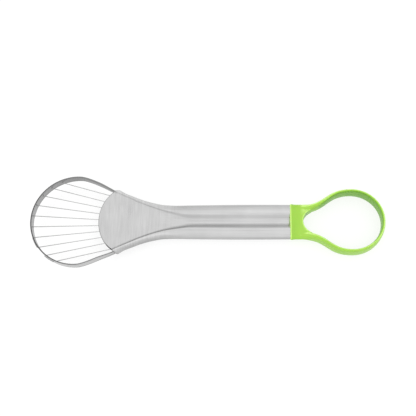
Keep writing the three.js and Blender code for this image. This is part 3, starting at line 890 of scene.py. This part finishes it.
# Stainless sheet, brushed across the scoop plate and along the handle. Highlights are painted on the
# shoulders of its bends, and shade is painted on the sides toward the seams, in the near crease of the
# scoop and on the rolled front edge, darkest at its near corner
def handle_steel():
    plate_end, barrel_start = -0.04, -0.012
    crease_front, crease_full, crease_shade_depth = -0.064, -0.052, 0.25
    corner_y, plate_y = -0.0178, -0.0158
    corner_shadow_tone, edge_shade_tone = 0.03, 0.8
    axis_blend = 0.001
    # Painted highlight and shade by how far the sheet faces out to the side: brightest on the shoulders of
    # the bends, darker on the sides toward the seams
    scoop_light_and_shade = [(0, 1.1), (0.45, 1.02), (0.55, 1.02), (0.7, 1.25), (0.8, 1.2), (0.88, 1.05)]
    scoop_light_and_shade += [(0.95, 0.86), (1, 0.74)]
    handle_light_and_shade = [(0, 1.06), (0.45, 1.08), (0.55, 1.08), (0.7, 1.05), (0.85, 1), (0.95, 0.92), (1, 0.82)]

    look = Look("handle_steel", Metallic=1)
    x, y, _ = look.place()
    normal_x, normal_y = look.toward(1, 0, 0), look.toward(0, 1, 0)
    along = look.ranged(x, plate_end, barrel_start, 0, 1, "SMOOTHSTEP")
    streaks = look.mixed(along, look.noise((900, 70, 70)), look.noise((14, 700, 700)))
    cloud = look.noise((60, 60, 60), detail=2)
    tone = look.math("ADD", look.math("MULTIPLY", streaks, 0.65), look.math("MULTIPLY", cloud, 0.35))
    brushed = look.varied(tone, 0.43, 0.56)
    outward = look.ranged(look.math("MULTIPLY", look.math("SIGN", y, 0), normal_y), -1, 1, 0, 1)
    # Painted light and shade by facing, scaling the brushed base colour
    facing_light_and_shade = look.mixed(along, look.levels(outward, scoop_light_and_shade), look.levels(outward, handle_light_and_shade))
    # Painted shade along the near crease of the scoop plate
    near_side = look.ranged(y, -axis_blend, axis_blend, 1, 0)
    near = look.math("MULTIPLY", near_side, look.ranged(x, crease_front, crease_full, 0, 1))
    crease_shade = look.math("MULTIPLY", look.ranged(outward, 0.3, 0.48, crease_shade_depth, 0), near)
    facing_light_and_shade = look.math("SUBTRACT", facing_light_and_shade, look.math("MULTIPLY", crease_shade, look.math("SUBTRACT", 1, along)))
    # Painted shade on the rolled front edge, turning to a near-black painted shadow at its near corner
    behind_front = look.ranged(x, HANDLE_FRONT * MM, (HANDLE_FRONT + FRONT_ROLL) * MM, 0, 1)
    front = look.math("MAXIMUM", behind_front, look.ranged(normal_x, -0.35, -0.1, 0, 1))
    facing_shade = look.ranged(normal_y, -0.05, 0.1, corner_shadow_tone, edge_shade_tone)
    rolled = look.math("MAXIMUM", look.ranged(y, corner_y, plate_y, corner_shadow_tone, edge_shade_tone), facing_shade)
    look.drive("Base Color", look.math("MULTIPLY", brushed, look.mixed(front, rolled, facing_light_and_shade)))
    look.drive("Roughness", look.varied(streaks, 0.26, 0.4))
    look.bump(streaks, 0.25, 0.05)
    return look.material


# Satin strip steel with painted light and shade: the outside is painted brightest, the inside darker, the
# inside of the legs darker still and the edges round the bow darkest
def rim_steel():
    bow_end, leg_start = -0.118, -0.08
    foot_height, foot_shade_tone = 2.5, 0.5
    # Painted light and shade by facing: brightest outside, darker inside, darker still inside the legs and
    # darkest on the top and bottom edges round the bow
    bow_light_and_shade = [(0.1, grey(0.36)), (0.35, grey(0.07)), (0.8, grey(0.07)), (0.97, grey(0.5))]
    leg_light_and_shade = [(0.1, grey(0.22)), (0.5, grey(0.22)), (0.9, grey(0.5))]

    look = Look("rim_steel", Metallic=1)
    x, _, z = look.place()
    side = look.ranged(look.outward(rim_centre_x), -1, 1, 0, 1)
    streaks = look.noise((60, 60, 900))
    tone = look.math("ADD", side, look.varied(streaks, -0.06, 0.06))
    legs = look.ranged(x, bow_end, leg_start, 0, 1)
    rolled = look.mixed(legs, look.ramp(tone, bow_light_and_shade), look.ramp(tone, leg_light_and_shade))
    # Painted shade, darker toward the foot of the band
    foot_shade = look.ranged(z, RIM_BOTTOM * MM, (RIM_BOTTOM + foot_height) * MM, foot_shade_tone, 1)
    look.drive("Base Color", look.math("MULTIPLY", rolled, foot_shade))
    look.drive("Roughness", look.varied(streaks, 0.24, 0.36))
    look.bump(streaks, 0.15, 0.04)
    return look.material


# Cut bar under the scoop, painted dark grey as painted shade for the shadow it lies in
def anchor_steel():
    look = Look("anchor_steel", Metallic=1)
    grain = look.noise((300, 300, 300))
    # Painted shade: a dark grey base colour standing for the shadow under the scoop
    look.drive("Base Color", look.ramp(grain, [(NOISE_LOW, grey(0.13)), (NOISE_HIGH, grey(0.2))]))
    look.drive("Roughness", look.varied(grain, 0.4, 0.55))
    look.bump(grain, 0.1, 0.03)
    return look.material


# Drawn wire with fine marks along its length, darker toward the rim and lighter toward the anchor
def wire_steel():
    rim_end, anchor_end = -0.112, -0.07
    look = Look("wire_steel", Metallic=1)
    x, _, _ = look.place()
    marks = look.noise((90, 2400, 2400))
    brightness = look.ranged(x, rim_end, anchor_end, 0.76, 1.12)
    look.drive("Base Color", look.math("MULTIPLY", look.varied(marks, 0.46, 0.56), brightness))
    look.drive("Roughness", look.varied(marks, 0.2, 0.34))
    look.bump(marks, 0.1, 0.02)
    return look.material


# Moulded plastic, slightly translucent, with a faint flow mottling and a fine skin texture. Shade is
# painted deeper green inside the loop, behind the lip and on faces turned down and toward the near side;
# highlights are painted paler on the lip and on the loop's edges turned up and back
def green_plastic():
    lip_band, waist_shade = 1, 7
    # The ramp runs from deep green painted shade through the plastic's own green to pale painted highlight
    stops = [(0, (0.17, 0.415, 0.018)), (0.5, (0.35, 0.635, 0.06)), (1, (0.58, 0.86, 0.22))]

    look = Look(
        "green_plastic",
        Subsurface_Weight=0.25,
        Subsurface_Radius=(0.5, 1.0, 0.2),
        Subsurface_Scale=0.002,
        IOR=1.46,
    )
    x, _, _ = look.place()
    lip = (FERRULE_START + lip_band) * MM
    waist = (FERRULE_START + waist_shade) * MM
    root = OPENING_ROOT * MM
    # Painted highlight on the loop's edges turned up and back or up and toward its end
    back_or_end = look.math("MAXIMUM", look.toward(0, 0.6, 0.8), look.toward(0.6, 0, 0.8))
    painted_highlight = look.ranged(back_or_end, 0.81, 0.94, 0, 0.6)
    # Painted light and shade: highlights on the loop's edges and on the ferrule's lip, shade behind the
    # lip, inside the loop and on faces turned down and toward the near side
    painted_light_and_shade = [
        look.math("MULTIPLY", painted_highlight, look.ranged(x, root - 0.002, root, 0, 1)),
        look.ranged(x, lip - 0.0002, lip + 0.0002, 0.55, 0),
        look.ranged(x, lip, waist, -0.1, 0),
        look.ranged(look.outward(loop_centre_x), -0.95, -0.6, -0.45, 0, "SMOOTHSTEP"),
        look.ranged(look.toward(0, -0.8, -0.6), 0.2, 0.8, 0, -0.15),
    ]
    tone = look.varied(look.noise((45, 45, 45), detail=2), 0.45, 0.55)
    for change in painted_light_and_shade:
        tone = look.math("ADD", tone, change)
    look.drive("Base Color", look.ramp(tone, stops))
    skin = look.noise((1400, 1400, 1400), detail=2)
    look.drive("Roughness", look.varied(skin, 0.32, 0.42))
    look.bump(skin, 0.08, 0.03)
    return look.material


def dress(piece, node, look):
    piece.data.materials.clear()
    piece.data.materials.append(look)
    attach(piece, "root")
    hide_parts(node)


def make_slicer():
    steel, rim, wire, green = handle_steel(), rim_steel(), wire_steel(), green_plastic()
    dress(upper_shell(), "handle_upper_shell", steel)
    dress(lower_shell(), "handle_lower_shell", steel)
    dress(rim_band(), "rim_band", rim)
    dress(wire_anchor(), "wire_anchor", anchor_steel())
    spans = all_spans()
    for i in range(WIRE_PAIRS):
        made = hairpin(f"slicing_wire_{i + 1}_skin", spans[2 * i], spans[2 * i + 1])
        dress(made, f"slicing_wire_{i + 1}", wire)
    dress(end_loop(), "end_loop", green)


def make_floor():
    size = 3000
    depth = -0.05
    corners = [(-size, -size), (size, -size), (size, size), (-size, size)]
    mesh = bpy.data.meshes.new("floor")
    mesh.from_pydata([Vector((x, y, depth)) * MM for x, y in corners], [], [(0, 1, 2, 3)])
    floor = bpy.data.objects.new("floor", mesh)
    bpy.context.scene.collection.objects.link(floor)
    look = Look(
        "floor_white",
        Base_Color=(0.25, 0.25, 0.25, 1),
        Roughness=0.9,
        Specular_IOR_Level=0.1,
        Emission_Color=(1, 1, 1, 1),
        Emission_Strength=0.78,
    )
    mesh.materials.append(look.material)


# A softbox in metres: its centre, its size along X and Y, and its brightness
def softbox(name, centre, size, brightness):
    data = bpy.data.lights.new(name, "AREA")
    data.shape = "RECTANGLE"
    data.size, data.size_y = size
    data.energy = brightness * math.pi * size[0] * size[1]
    lamp = bpy.data.objects.new(name, data)
    lamp.location = centre
    bpy.context.scene.collection.objects.link(lamp)


# Pale grey surroundings with a wide softbox overhead and a brighter strip in it
def make_light():
    world = bpy.data.worlds.new("studio")
    world.use_nodes = True
    background = world.node_tree.nodes["Background"]
    background.inputs["Color"].default_value = (1, 1, 1, 1)
    background.inputs["Strength"].default_value = 1.0
    bpy.context.scene.world = world
    softbox("overhead", (0, -0.15, 0.9), (3.0, 1.9), 0.2)
    softbox("strip", (0, 0.42, 0.89), (3.0, 0.36), 0.1)
    bpy.context.scene.view_settings.view_transform = "Standard"


def make_camera():
    data = bpy.data.cameras.new("camera")
    data.lens = CAMERA_LENS
    data.sensor_width = CAMERA_SENSOR
    data.clip_start = 0.01
    camera = bpy.data.objects.new("camera", data)
    turn = Matrix.Rotation(CAMERA_YAW, 4, "Y") @ Matrix.Rotation(CAMERA_PITCH, 4, "X")
    camera.matrix_world = Matrix.Translation(CAMERA_PLACE) @ turn @ Matrix.Rotation(CAMERA_ROLL, 4, "Z")
    bpy.context.scene.collection.objects.link(camera)
    bpy.context.scene.camera = camera


make_camera()
make_slicer()
make_floor()
make_light()
